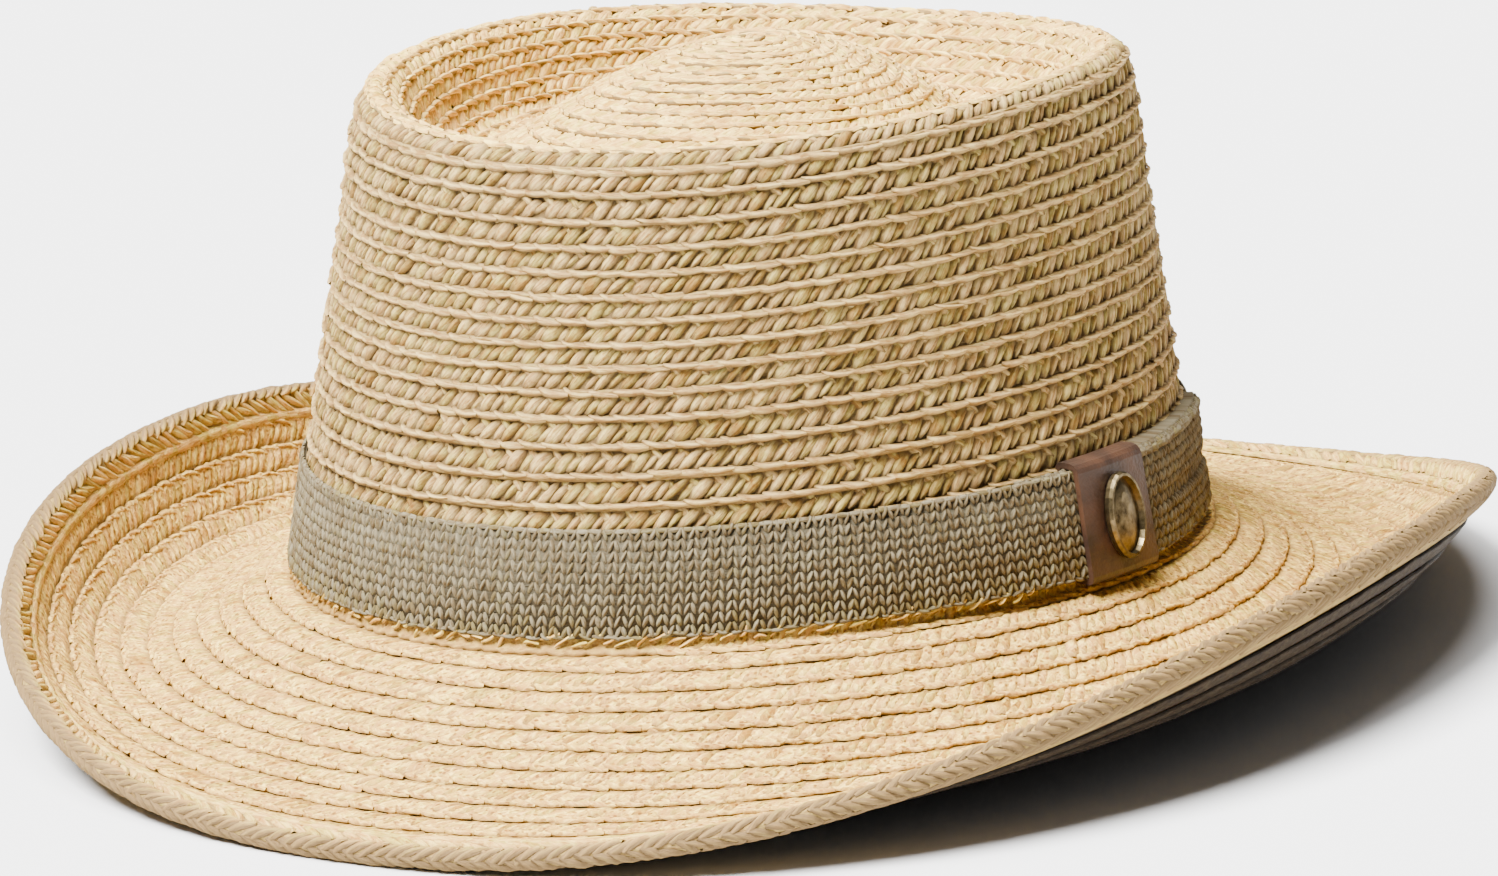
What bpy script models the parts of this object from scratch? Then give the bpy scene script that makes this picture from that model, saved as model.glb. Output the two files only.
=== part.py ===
"""Gambler hat of sewn straw braid, with a telescope crown, a curled brim and a knit band.

The hat faces -Y, the wearer's left is +X, and it stands on the front and back of its brim.
Every height is measured from the head line, where the crown turns out into the brim.
"""

import math

import bmesh
import bpy
from mathutils import Matrix, Vector

# Crown
HEAD_LENGTH = 0.202
HEAD_WIDTH = 0.1836
HEAD_POWER = 1.92
CROWN_HEIGHT = 0.0966
CROWN_LEAN = 0.0070
RIM_INSET = 0.0176
RIM_POWER = 2.22
RIM_SADDLE = 0.0021
CHANNEL_DEPTH = 0.017
STRAW_WALL = 0.002

# Slopes in degrees: pitch towards the back, cant towards the wearer's left
HEAD_PITCH = -1.604
HEAD_CANT = 2.176
RIM_PITCH = -1.088
RIM_CANT = 0.688
BRIM_CANT = 0.401

# How much wider the back of each oval is than its middle, in percent
HEAD_EGG = 4.2
BRIM_EGG = 3.1

# Brim
BRIM_LENGTH = 0.3360
BRIM_WIDTH = 0.2888
BRIM_POWER = 2.18
BRIM_SETBACK = 0.0055
BRIM_DIP = 0.0213
BRIM_SIDE_LIFT = 0.0075
BACK_QUARTER_DROP = 0.0026
FRONT_QUARTER_DROP = 0.0014
SIDE_SAG = 0.0185
END_SAG = 0.0032
COLLAR_HEIGHT = 0.004
COLLAR_BEND = 0.0015

# Folded braid round the brim's edge
EDGE_WIDTH = 0.0085
EDGE_THICKNESS = 0.0048
EDGE_NOSE = 0.0026

# Knit band
BAND_HEIGHT = 0.0212
BAND_THICKNESS = 0.0013
BAND_RAISE = 0.0022
BAND_INNER_END = -24.0
BAND_OUTER_END = 388.0
TAIL_LIFT = 0.0004
EASE_START = 2.0
EASE_END = 20.0
DOUBLING_ARC = 34.0

# Leather keeper and its ornament
KEEPER_ANGLE = -10.0
KEEPER_WIDTH = 0.0215
LEATHER_THICKNESS = 0.0012
KEEPER_CORNER = 0.0018
KEEPER_INSIDE_CORNER = 0.00045
ORNAMENT_WIDTH = 0.0115
ORNAMENT_HEIGHT = 0.0175
ORNAMENT_THICKNESS = 0.0020
POST_RADIUS = 0.0010
POST_CLEARANCE = 0.0003

# Gap that neighbouring pieces keep
SEAM_GAP = 0.0003

# Steps round the hat: segments of a full turn, and degrees between band sections
SEGMENTS = 72
BAND_STEP = 5.0
POST_SEGMENTS = 16
ORNAMENT_SEGMENTS = 24
SLOPE_STEP = 0.01

# Crown wall: height as a share of CROWN_HEIGHT, inset as a share of RIM_INSET
WALL_SECTIONS = (
    ("head_line", 0.000, 0.000),
    ("band_middle", 0.130, 0.136),
    ("above_band", 0.280, 0.293),
    ("middle", 0.500, 0.522),
    ("upper", 0.740, 0.772),
    ("shoulder", 0.944, 0.975),
)

# Crown tip: half length and half width as shares of the rim oval, drop as a share of CHANNEL_DEPTH
TIP_SECTIONS = (
    ("roll_outside", 0.994, 0.993, 0.160),
    ("roll_top", 0.978, 0.975, 0.040),
    ("crest", 0.952, 0.946, 0.000),
    ("roll_inside", 0.915, 0.904, 0.090),
    ("channel_wall_top", 0.878, 0.863, 0.320),
    ("channel_wall_low", 0.840, 0.820, 0.700),
    ("channel_outside", 0.799, 0.775, 0.945),
    ("channel_floor", 0.749, 0.718, 1.000),
    ("dome_foot", 0.689, 0.651, 0.920),
    ("dome_flank", 0.593, 0.543, 0.640),
    ("dome_shoulder", 0.486, 0.422, 0.320),
    ("dome_top", 0.340, 0.280, 0.000),
    ("dome_ridge", 0.170, 0.125, -0.210),
)
DOME_PEAK_DROP = -0.27
DOME_SETBACK = 0.007
SETBACK_REACH = 0.75
INNER_SKIP = ("roll_top", "channel_outside", "dome_flank", "band_middle", "middle", "dome_ridge")

# Brim: reach as a share of the way from head line to edge, fall as a share of the
# height between them, sag as a share of the local sag
BRIM_SECTIONS = (
    ("by_collar", 0.08, 0.06, 0.12),
    ("inner_rows", 0.24, 0.22, 0.44),
    ("lower_rows", 0.42, 0.40, 0.80),
    ("belly", 0.58, 0.57, 1.00),
    ("turning_up", 0.73, 0.72, 0.95),
    ("curl", 0.86, 0.85, 0.64),
    ("outer_rows", 0.94, 0.93, 0.31),
    ("cut_edge", 1.00, 1.00, 0.00),
)

# Edge braid's section above its middle: reach out from the cut edge as a share of EDGE_NOSE,
# or inward as a negative share of the leg, height as a share of half EDGE_THICKNESS
EDGE_SECTION = (
    ("leg_shoulder", -0.90, 0.92),
    ("over_cut_edge", 0.00, 1.00),
    ("nose_shoulder", 0.75, 0.60),
)

# Knit strip's section: depth as a share of BAND_THICKNESS, height as a share of BAND_HEIGHT
BAND_SECTION = (
    ("inner_low", 0.0, 0.00),
    ("low_edge", 0.8, 0.00),
    ("low_shoulder", 1.0, 0.12),
    ("high_shoulder", 1.0, 0.88),
    ("high_edge", 0.8, 1.00),
    ("inner_high", 0.0, 1.00),
)

# Ornament's plate: width as a share of ORNAMENT_WIDTH, height as a share of ORNAMENT_THICKNESS
ORNAMENT_SECTIONS = (
    ("back", 0.94, 0.00),
    ("side_low", 1.00, 0.25),
    ("side_high", 1.00, 0.70),
    ("rim_outside", 0.93, 1.00),
    ("rim_inside", 0.84, 1.00),
    ("field_edge", 0.77, 0.45),
    ("field", 0.55, 0.62),
    ("field_top", 0.28, 0.74),
    ("field_peak", 0.00, 0.78),
)

# Straw, knit, leather and metal: colour, roughness, metallic
FINISHES = {
    "straw_crown": ((0.72, 0.56, 0.35), 0.75, 0.0),
    "straw_brim": ((0.80, 0.65, 0.42), 0.75, 0.0),
    "straw_edge": ((0.74, 0.58, 0.36), 0.75, 0.0),
    "knit": ((0.36, 0.31, 0.21), 0.85, 0.0),
    "leather": ((0.16, 0.075, 0.038), 0.55, 0.0),
    "antique_brass": ((0.42, 0.34, 0.20), 0.38, 1.0),
}


def signed_power(value, power):
    return math.copysign(abs(value) ** power, value)


def mix(first, second, share):
    return first + (second - first) * share


def along_table(rows, column, key):
    """Value of a column where the first column equals key, along straight runs between rows."""
    for low, high in zip(rows, rows[1:]):
        if key <= high[1]:
            return mix(low[column], high[column], (key - low[1]) / (high[1] - low[1]))
    return rows[-1][column]


def slope(degrees):
    return math.tan(math.radians(degrees))


def oval(angle, half_length, half_width, power, egg):
    """Point of an oval whose back is wider than its front."""
    widen = 1.0 + egg / 100.0 * math.sin(angle)
    x = half_width * signed_power(math.cos(angle), 2.0 / power) * widen
    y = half_length * signed_power(math.sin(angle), 2.0 / power)
    return x, y


def tilt(x, y, share):
    """Height that the slopes of head line and rim add, share 0 at the head line and 1 at the rim."""
    pitch = mix(slope(HEAD_PITCH), slope(RIM_PITCH), share)
    cant = mix(slope(HEAD_CANT), slope(RIM_CANT), share)
    return pitch * y + cant * x


def crown_point(angle, half_length, half_width, height, saddle):
    share = height / CROWN_HEIGHT
    power = mix(HEAD_POWER, RIM_POWER, share)
    x, y = oval(angle, half_length, half_width, power, HEAD_EGG)
    rise = tilt(x, y, share) + RIM_SADDLE * saddle * math.cos(2.0 * angle)
    return Vector((x, y + CROWN_LEAN * share, height + rise))


def wall_point(angle, height):
    """Point on the outside of the crown wall."""
    share = height / CROWN_HEIGHT
    inset = RIM_INSET * along_table(WALL_SECTIONS, 2, share)
    return crown_point(angle, HEAD_LENGTH / 2 - inset, HEAD_WIDTH / 2 - inset, height, share)


def wall_outward(angle):
    """Level direction square to the crown wall."""
    run = wall_point(angle + SLOPE_STEP, BAND_RAISE) - wall_point(angle - SLOPE_STEP, BAND_RAISE)
    return Vector((run.y, -run.x, 0.0)).normalized()


def stations(count=SEGMENTS):
    return [2.0 * math.pi * k / count for k in range(count)]


def offset_rings(rings, distance):
    """Rings moved square to the surface that they span; the last ring may be a single pole."""
    moved = []
    for i, ring in enumerate(rings):
        before = rings[max(i - 1, 0)]
        after = rings[min(i + 1, len(rings) - 1)]
        count = len(ring)
        new = []
        for k in range(count):
            around = ring[(k + 1) % count] - ring[k - 1]
            across = after[k % len(after)] - before[k % len(before)]
            new.append(ring[k] + around.cross(across).normalized() * distance)
        moved.append(new)
    return moved


def add_object(name, mesh, finish, empty, smooth_angle=35.0):
    mesh.materials.append(finish)
    mesh.shade_smooth()
    mesh.set_sharp_from_angle(angle=math.radians(smooth_angle))
    item = bpy.data.objects.new(name, mesh)
    bpy.context.collection.objects.link(item)
    item.parent = empty
    return item


def loft(name, rings, closed=False):
    """Closed mesh through rings of points; a ring of one point closes an end to a pole."""
    work = bmesh.new()
    loops = [[work.verts.new(point) for point in ring] for ring in rings]
    pairs = list(zip(loops, loops[1:]))
    if closed:
        pairs.append((loops[-1], loops[0]))
    for low, high in pairs:
        count = max(len(low), len(high))
        for k in range(count):
            n = (k + 1) % count
            corners = [low[k % len(low)], low[n % len(low)], high[n % len(high)], high[k % len(high)]]
            work.faces.new(list(dict.fromkeys(corners)))
    if not closed:
        for loop in (loops[0], loops[-1]):
            if len(loop) > 1:
                work.faces.new(loop)
    bmesh.ops.recalc_face_normals(work, faces=work.faces)
    mesh = bpy.data.meshes.new(name)
    work.to_mesh(mesh)
    work.free()
    return mesh


def crown_rings():
    """Outer surface of the crown, from just above the collar up to the dome's peak."""
    names = ["bottom"]
    start = COLLAR_HEIGHT + SEAM_GAP
    rings = [[wall_point(angle, start) for angle in stations()]]
    for name, height, _ in WALL_SECTIONS[1:]:
        names.append(name)
        rings.append([wall_point(angle, height * CROWN_HEIGHT) for angle in stations()])
    rim_length = HEAD_LENGTH / 2 - RIM_INSET
    rim_width = HEAD_WIDTH / 2 - RIM_INSET
    for name, along, across, drop in TIP_SECTIONS:
        names.append(name)
        height = CROWN_HEIGHT - drop * CHANNEL_DEPTH
        saddle = along ** 2
        half = (along * rim_length, across * rim_width)
        setback = DOME_SETBACK * (1.0 - smooth_step(0.0, SETBACK_REACH, along))
        shift = Vector((0.0, setback, 0.0))
        rings.append([crown_point(angle, *half, height, saddle) + shift for angle in stations()])
    names.append("peak")
    peak = CROWN_HEIGHT - DOME_PEAK_DROP * CHANNEL_DEPTH
    rings.append([Vector((0.0, CROWN_LEAN + DOME_SETBACK, peak))])
    return names, rings


def make_crown(finish, empty):
    names, outer = crown_rings()
    inner = offset_rings(outer[:-1], -STRAW_WALL)
    inner = [ring for name, ring in zip(names, inner) if name not in INNER_SKIP]
    inner.append([outer[-1][0] - Vector((0.0, 0.0, STRAW_WALL))])
    add_object("crown", loft("crown", inner[::-1] + outer), finish, empty)


def edge_frame(angle):
    """Middle of the brim's cut edge, and its outward and upward directions."""
    rings = brim_rings((angle - SLOPE_STEP, angle, angle + SLOPE_STEP))
    last = rings[-1]
    around = (last[2] - last[0]).normalized()
    outward = (last[1] - rings[-2][1]).normalized()
    upward = outward.cross(around).normalized()
    if upward.z < 0.0:
        upward = -upward
    outward = around.cross(upward)
    if outward.dot(last[1]) < 0.0:
        outward = -outward
    return last[1] - upward * STRAW_WALL / 2, outward, upward


def edge_height(angle, x):
    side = math.cos(angle) ** 2
    quarter_drop = BACK_QUARTER_DROP if math.sin(angle) > 0.0 else FRONT_QUARTER_DROP
    drop = quarter_drop * math.sin(2.0 * angle) ** 2
    return mix(-BRIM_DIP, BRIM_SIDE_LIFT, side) + slope(BRIM_CANT) * x - drop


def brim_rings(angles):
    """Upper surface of the brim, from the collar's top to the cut edge."""
    rings = []
    for height in (COLLAR_HEIGHT, COLLAR_BEND):
        rings.append([wall_point(angle, height) for angle in angles])
    for turn in (45.0, 90.0):
        out = COLLAR_BEND * (1.0 - math.cos(math.radians(turn)))
        height = COLLAR_BEND * (1.0 - math.sin(math.radians(turn)))
        rings.append([wall_point(a, height) + wall_outward(a) * out for a in angles])
    starts = rings[-1]
    half = (BRIM_LENGTH / 2 - EDGE_NOSE, BRIM_WIDTH / 2 - EDGE_NOSE)
    ends = []
    for angle in angles:
        x, y = oval(angle, *half, BRIM_POWER, BRIM_EGG)
        ends.append(Vector((x, y + BRIM_SETBACK, edge_height(angle, x) + STRAW_WALL / 2)))
    for _, reach, fall, sag in BRIM_SECTIONS:
        ring = []
        for angle, start, end in zip(angles, starts, ends):
            depth = mix(END_SAG, SIDE_SAG, math.cos(angle) ** 2)
            point = start.lerp(end, reach)
            point.z = mix(start.z, end.z, fall) - depth * sag
            ring.append(point)
        rings.append(ring)
    return rings


def make_brim(finish, empty):
    upper = brim_rings(stations())
    lower = offset_rings(upper, STRAW_WALL)
    add_object("brim", loft("brim", upper + lower[::-1], closed=True), finish, empty)


def make_edge_braid(finish, empty):
    """Braid folded over the cut edge: a rounded nose with a leg above and a leg below the brim."""
    slot = STRAW_WALL / 2 + SEAM_GAP
    leg = EDGE_WIDTH - EDGE_NOSE
    upper = [(-leg, slot)]
    for _, reach, height in EDGE_SECTION:
        span = EDGE_NOSE if reach > 0.0 else leg
        upper.append((reach * span, height * EDGE_THICKNESS / 2))
    section = upper + [(EDGE_NOSE, 0.0)] + [(out, -up) for out, up in upper[::-1]]
    section += [(SEAM_GAP, -slot), (SEAM_GAP, slot)]
    rings = [[] for _ in section]
    for angle in stations():
        centre, outward, upward = edge_frame(angle)
        for ring, (out, up) in zip(rings, section):
            ring.append(centre + outward * out + upward * up)
    add_object("edge_braid", loft("edge_braid", rings, closed=True), finish, empty)


def smooth_step(low, high, value):
    share = min(max((value - low) / (high - low), 0.0), 1.0)
    return share * share * (3.0 - 2.0 * share)


def band_offset(turn):
    """How far the band's inner face stands off the crown wall, at an angle in degrees."""
    ply = LEATHER_THICKNESS + SEAM_GAP
    layer = BAND_THICKNESS + SEAM_GAP
    reach = math.degrees(KEEPER_WIDTH / HEAD_LENGTH)
    near_keeper = 0.0
    for centre in (KEEPER_ANGLE, KEEPER_ANGLE + 360.0):
        away = abs(turn - centre) - reach
        near_keeper = max(near_keeper, 1.0 - smooth_step(EASE_START, EASE_END, away))
    start = BAND_INNER_END + 360.0
    doubled = smooth_step(start - DOUBLING_ARC, start - EASE_START, turn)
    tail = smooth_step(KEEPER_ANGLE + 360.0 + reach, BAND_OUTER_END, turn)
    return SEAM_GAP + ply * near_keeper + layer * doubled + TAIL_LIFT * tail


def make_band(finish, empty):
    """One strip, wound once round the crown, whose tail lies over its start."""
    count = round((BAND_OUTER_END - BAND_INNER_END) / BAND_STEP)
    rings = []
    for k in range(count + 1):
        turn = mix(BAND_INNER_END, BAND_OUTER_END, k / count)
        angle = math.radians(turn)
        out = wall_outward(angle)
        ring = []
        for _, depth, height in BAND_SECTION:
            level = wall_point(angle, BAND_RAISE + height * BAND_HEIGHT)
            ring.append(level + out * (band_offset(turn) + depth * BAND_THICKNESS))
        rings.append(ring)
    add_object("hat_band", loft("hat_band", rings), finish, empty)


def rounded_box(low, high, corner, steps=3):
    """Outline of a box with round corners, through its low and high corner points."""
    points = []
    centres = ((high[0], high[1]), (low[0], high[1]), (low[0], low[1]), (high[0], low[1]))
    signs = ((-1, -1), (1, -1), (1, 1), (-1, 1))
    for quarter, ((x, y), (sx, sy)) in enumerate(zip(centres, signs)):
        for k in range(steps + 1):
            turn = math.radians(90.0 * (quarter + k / steps))
            across = x + corner * (sx + math.cos(turn))
            points.append((across, y + corner * (sy + math.sin(turn))))
    return points


def keeper_depths():
    """Offsets from the crown wall of the keeper's four leather faces, inside to outside."""
    back = SEAM_GAP
    inside = back + LEATHER_THICKNESS
    outside = inside + 3 * SEAM_GAP + 2 * BAND_THICKNESS
    return back, inside, outside, outside + LEATHER_THICKNESS


def keeper_frame():
    """Middle of the keeper's front face, and its outward, sideways and upward directions."""
    angle = math.radians(KEEPER_ANGLE)
    out = wall_outward(angle)
    middle = BAND_RAISE + BAND_HEIGHT / 2
    up = (wall_point(angle, middle + SEAM_GAP) - wall_point(angle, middle - SEAM_GAP)).normalized()
    side = up.cross(out).normalized()
    out = side.cross(up)
    centre = wall_point(angle, middle) + wall_outward(angle) * keeper_depths()[3]
    return centre, out, side, up


def make_keeper(finish, empty):
    """Leather loop round both layers of the band, with a hole for the ornament's post."""
    back, inside, outside, front = keeper_depths()
    low = BAND_RAISE - SEAM_GAP
    high = BAND_RAISE + BAND_HEIGHT + SEAM_GAP
    hollow = rounded_box((inside, low), (outside, high), KEEPER_INSIDE_CORNER)
    skin_low = (back, low - LEATHER_THICKNESS)
    skin_high = (front, high + LEATHER_THICKNESS)
    skin = rounded_box(skin_low, skin_high, KEEPER_CORNER)
    reach = math.degrees(KEEPER_WIDTH / HEAD_LENGTH)
    angles = [math.radians(KEEPER_ANGLE + reach * k / 3) for k in range(-3, 4)]

    def place(outline, angle):
        out = wall_outward(angle)
        return [wall_point(angle, height) + out * depth for depth, height in outline]

    rings = [place(skin, angle) for angle in angles] + [place(hollow, angle) for angle in angles[::-1]]
    keeper = add_object("leather_keeper", loft("leather_keeper", rings, closed=True), finish, empty)
    centre, out, side, up = keeper_frame()
    cutter_mesh = bpy.data.meshes.new("post_hole")
    work = bmesh.new()
    turn = Matrix((side, up, out)).transposed().to_4x4()
    depth = LEATHER_THICKNESS + SEAM_GAP
    radius = POST_RADIUS + POST_CLEARANCE
    place_cutter = Matrix.Translation(centre - out * LEATHER_THICKNESS / 2) @ turn
    bmesh.ops.create_cone(work, cap_ends=True, segments=POST_SEGMENTS, radius1=radius,
                          radius2=radius, depth=2 * depth, matrix=place_cutter)
    work.to_mesh(cutter_mesh)
    work.free()
    cutter = bpy.data.objects.new("post_hole", cutter_mesh)
    bpy.context.collection.objects.link(cutter)
    cutter.parent = empty
    cutter.hide_render = True
    cutter.display_type = "WIRE"
    cut = keeper.modifiers.new("post_hole", "BOOLEAN")
    cut.operation = "DIFFERENCE"
    cut.solver = "EXACT"
    cut.object = cutter


def make_ornament(finish, empty):
    """Plain oval plate with a raised rim, a domed field and a post behind."""
    centre, out, side, up = keeper_frame()
    post = (POST_RADIUS, POST_RADIUS)
    rows = [(0.0, 0.0, -LEATHER_THICKNESS), (*post, -LEATHER_THICKNESS), (*post, SEAM_GAP)]
    for _, share, height in ORNAMENT_SECTIONS:
        wide = share * ORNAMENT_WIDTH / 2
        tall = wide + (ORNAMENT_HEIGHT - ORNAMENT_WIDTH) / 2 if share else 0.0
        rows.append((wide, tall, SEAM_GAP + height * ORNAMENT_THICKNESS))
    rings = []
    for wide, tall, depth in rows:
        level = centre + out * depth
        ring = []
        for angle in stations(ORNAMENT_SEGMENTS if wide else 1):
            ring.append(level + side * wide * math.cos(angle) + up * tall * math.sin(angle))
        rings.append(ring)
    add_object("ornament", loft("ornament", rings), finish, empty, smooth_angle=50.0)


def make_finish(name):
    colour, roughness, metallic = FINISHES[name]
    finish = bpy.data.materials.new(name)
    finish.use_nodes = True
    shader = finish.node_tree.nodes["Principled BSDF"]
    shader.inputs["Base Color"].default_value = (*colour, 1.0)
    shader.inputs["Roughness"].default_value = roughness
    shader.inputs["Metallic"].default_value = metallic
    finish.diffuse_color = (*colour, 1.0)
    return finish


def stand_on_origin(empty):
    """Put the middle of the hat's base at the origin."""
    solids = [child for child in empty.children if not child.hide_render]
    points = [vertex.co for solid in solids for vertex in solid.data.vertices]
    low = [min(point[i] for point in points) for i in range(3)]
    high = [max(point[i] for point in points) for i in range(3)]
    empty.location = (-(low[0] + high[0]) / 2, -(low[1] + high[1]) / 2, -low[2])


def main():
    for item in list(bpy.data.objects):
        bpy.data.objects.remove(item, do_unlink=True)
    hat = bpy.data.objects.new("hat", None)
    bpy.context.collection.objects.link(hat)
    make_crown(make_finish("straw_crown"), hat)
    make_brim(make_finish("straw_brim"), hat)
    make_edge_braid(make_finish("straw_edge"), hat)
    make_band(make_finish("knit"), hat)
    make_keeper(make_finish("leather"), hat)
    make_ornament(make_finish("antique_brass"), hat)
    stand_on_origin(hat)


main()
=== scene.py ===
"""Gambler hat: straw braid sewn in a spiral, a knit band, a leather keeper and a brass stud.

The hat's surfaces repeat the formulas of the part, in millimetres from the head line's middle.
Strands, rows and stitches are laid on those surfaces, and every mesh is put in the row frame.
"""

import math

import bpy
import numpy as np
from mathutils import Matrix, Vector


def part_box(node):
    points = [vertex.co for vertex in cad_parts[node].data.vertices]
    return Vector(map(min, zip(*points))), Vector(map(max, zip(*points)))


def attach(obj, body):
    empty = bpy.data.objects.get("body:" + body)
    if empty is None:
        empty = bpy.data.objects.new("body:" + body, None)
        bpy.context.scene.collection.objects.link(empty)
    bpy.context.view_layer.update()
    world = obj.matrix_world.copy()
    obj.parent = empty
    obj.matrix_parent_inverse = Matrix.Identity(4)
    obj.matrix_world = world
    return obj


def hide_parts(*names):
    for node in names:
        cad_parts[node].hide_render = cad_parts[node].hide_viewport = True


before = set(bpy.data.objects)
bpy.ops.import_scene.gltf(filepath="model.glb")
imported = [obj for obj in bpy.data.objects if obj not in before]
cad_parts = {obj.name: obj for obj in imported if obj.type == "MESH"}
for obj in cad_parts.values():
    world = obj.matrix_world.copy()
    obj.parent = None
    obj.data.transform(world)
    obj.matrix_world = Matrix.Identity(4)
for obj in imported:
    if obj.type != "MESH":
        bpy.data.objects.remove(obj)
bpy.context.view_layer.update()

MM = 0.001
TURN = 2.0 * math.pi

# Middle of the head line in the row frame, in millimetres
HAT_X = 0.015
HAT_Y = -5.580

# Crown, in millimetres and degrees
HEAD_LENGTH = 202.0
HEAD_WIDTH = 183.6
HEAD_EGG = 4.2
HEAD_POWER = 1.92
CROWN_HEIGHT = 96.6
CROWN_LEAN = 7.0
RIM_INSET = 17.6
RIM_POWER = 2.22
RIM_SADDLE = 2.1
CHANNEL_DEPTH = 17.0
HEAD_PITCH = -1.604
HEAD_CANT = 2.176
RIM_PITCH = -1.088
RIM_CANT = 0.688
STRAW_WALL = 2.0

# Brim
BRIM_LENGTH = 336.0
BRIM_WIDTH = 288.8
BRIM_EGG = 3.1
BRIM_POWER = 2.18
BRIM_SETBACK = 5.5
BRIM_DIP = 21.3
BRIM_SIDE_LIFT = 7.5
BRIM_CANT = 0.401
BACK_QUARTER_DROP = 2.6
FRONT_QUARTER_DROP = 1.4
SIDE_SAG = 18.5
END_SAG = 3.2
COLLAR_HEIGHT = 3.6
COLLAR_FOOT = 0.3
COLLAR_PROUD = 0.2

# Folded braid round the brim's edge
EDGE_WIDTH = 8.5
EDGE_THICKNESS = 4.8
EDGE_NOSE = 2.6

# Knit band
BAND_HEIGHT = 21.2
BAND_THICKNESS = 1.3
BAND_RAISE = 2.2
BAND_INNER_END = -24.0
BAND_OUTER_END = 388.0
TAIL_LIFT = 0.4
EASE_START = 2.0
EASE_END = 20.0
DOUBLING_ARC = 34.0

# Leather keeper
KEEPER_ANGLE = -10.0
KEEPER_WIDTH = 21.5
LEATHER_THICKNESS = 1.2
SEAM_GAP = 0.3

# Crown wall: height as a share of CROWN_HEIGHT, inset as a share of RIM_INSET
WALL_SECTIONS = ((0.0, 0.0), (0.13, 0.136), (0.28, 0.293), (0.5, 0.522), (0.74, 0.772), (0.944, 0.975))

# Crown tip: half length and half width as shares of the rim oval, drop as a share of CHANNEL_DEPTH
TIP_SECTIONS = (
    (0.994, 0.993, 0.160),
    (0.978, 0.975, 0.040),
    (0.952, 0.946, 0.000),
    (0.915, 0.904, 0.090),
    (0.878, 0.863, 0.320),
    (0.840, 0.820, 0.700),
    (0.799, 0.775, 0.945),
    (0.749, 0.718, 1.000),
    (0.689, 0.651, 0.920),
    (0.593, 0.543, 0.640),
    (0.486, 0.422, 0.320),
    (0.340, 0.280, 0.000),
    (0.170, 0.125, -0.210),
)
CREST_RING = 8
DOME_PEAK_DROP = -0.27
DOME_SETBACK = 7.0
SETBACK_REACH = 0.75

# Brim: reach from head line to edge, fall between them and share of the local sag
BRIM_SECTIONS = (
    (0.08, 0.06, 0.12),
    (0.24, 0.22, 0.44),
    (0.42, 0.40, 0.80),
    (0.58, 0.57, 1.00),
    (0.73, 0.72, 0.95),
    (0.86, 0.85, 0.64),
    (0.94, 0.93, 0.31),
    (1.00, 1.00, 0.00),
)

HAT_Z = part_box("crown")[1].z / MM - (CROWN_HEIGHT - DOME_PEAK_DROP * CHANNEL_DEPTH)
HAT_PLACE = np.array((HAT_X, HAT_Y, HAT_Z))

# Surface grids: columns round the hat, rows along each stretch of a meridian
COLUMNS = 720
GRID_ROWS = 160
FINER = 8
TINY = 1e-9
INSIDE = 1e-6

# Spiral rows: angle between two points as a share of a turn, least distance between rows
TURN_STEP = 0.5 / 360.0
LEAST_PITCH = 1.0

random = np.random.default_rng(7)


def smooth_step(low, high, value):
    share = np.clip((value - low) / (high - low), 0.0, 1.0)
    return share * share * (3.0 - 2.0 * share)


def mix(first, second, share):
    return first + (second - first) * share


def slope(degrees):
    return math.tan(math.radians(degrees))


def oval(angle, half_length, half_width, power, egg):
    across = np.cos(angle)
    along = np.sin(angle)
    x = half_width * np.sign(across) * np.abs(across) ** (2.0 / power) * (1.0 + egg / 100.0 * along)
    y = half_length * np.sign(along) * np.abs(along) ** (2.0 / power)
    return x, y


def crown_point(angle, half_length, half_width, height, saddle):
    share = height / CROWN_HEIGHT
    x, y = oval(angle, half_length, half_width, mix(HEAD_POWER, RIM_POWER, share), HEAD_EGG)
    pitch = mix(slope(HEAD_PITCH), slope(RIM_PITCH), share)
    cant = mix(slope(HEAD_CANT), slope(RIM_CANT), share)
    rise = pitch * y + cant * x + RIM_SADDLE * saddle * np.cos(2.0 * angle)
    return np.stack((x, y + CROWN_LEAN * share, height + rise + 0.0 * angle), axis=-1)


def wall_point(angle, height):
    """Point on the outside of the crown wall, for arrays of angles and heights."""
    share = height / CROWN_HEIGHT
    heights, insets = zip(*WALL_SECTIONS)
    inset = RIM_INSET * np.interp(share, heights, insets)
    return crown_point(angle, HEAD_LENGTH / 2 - inset, HEAD_WIDTH / 2 - inset, height, share)


def wall_outward(angle):
    """Level direction square to the crown wall."""
    step = 0.01
    run = wall_point(angle + step, BAND_RAISE) - wall_point(angle - step, BAND_RAISE)
    out = np.stack((run[..., 1], -run[..., 0], 0.0 * run[..., 0]), axis=-1)
    return out / np.linalg.norm(out, axis=-1, keepdims=True)


def column_angles():
    return np.arange(COLUMNS) * TURN / COLUMNS


def distances(points):
    """Distance reached at each point of a line."""
    steps = np.linalg.norm(np.diff(points, axis=0), axis=1)
    return np.concatenate(([0.0], np.cumsum(steps)))


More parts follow.
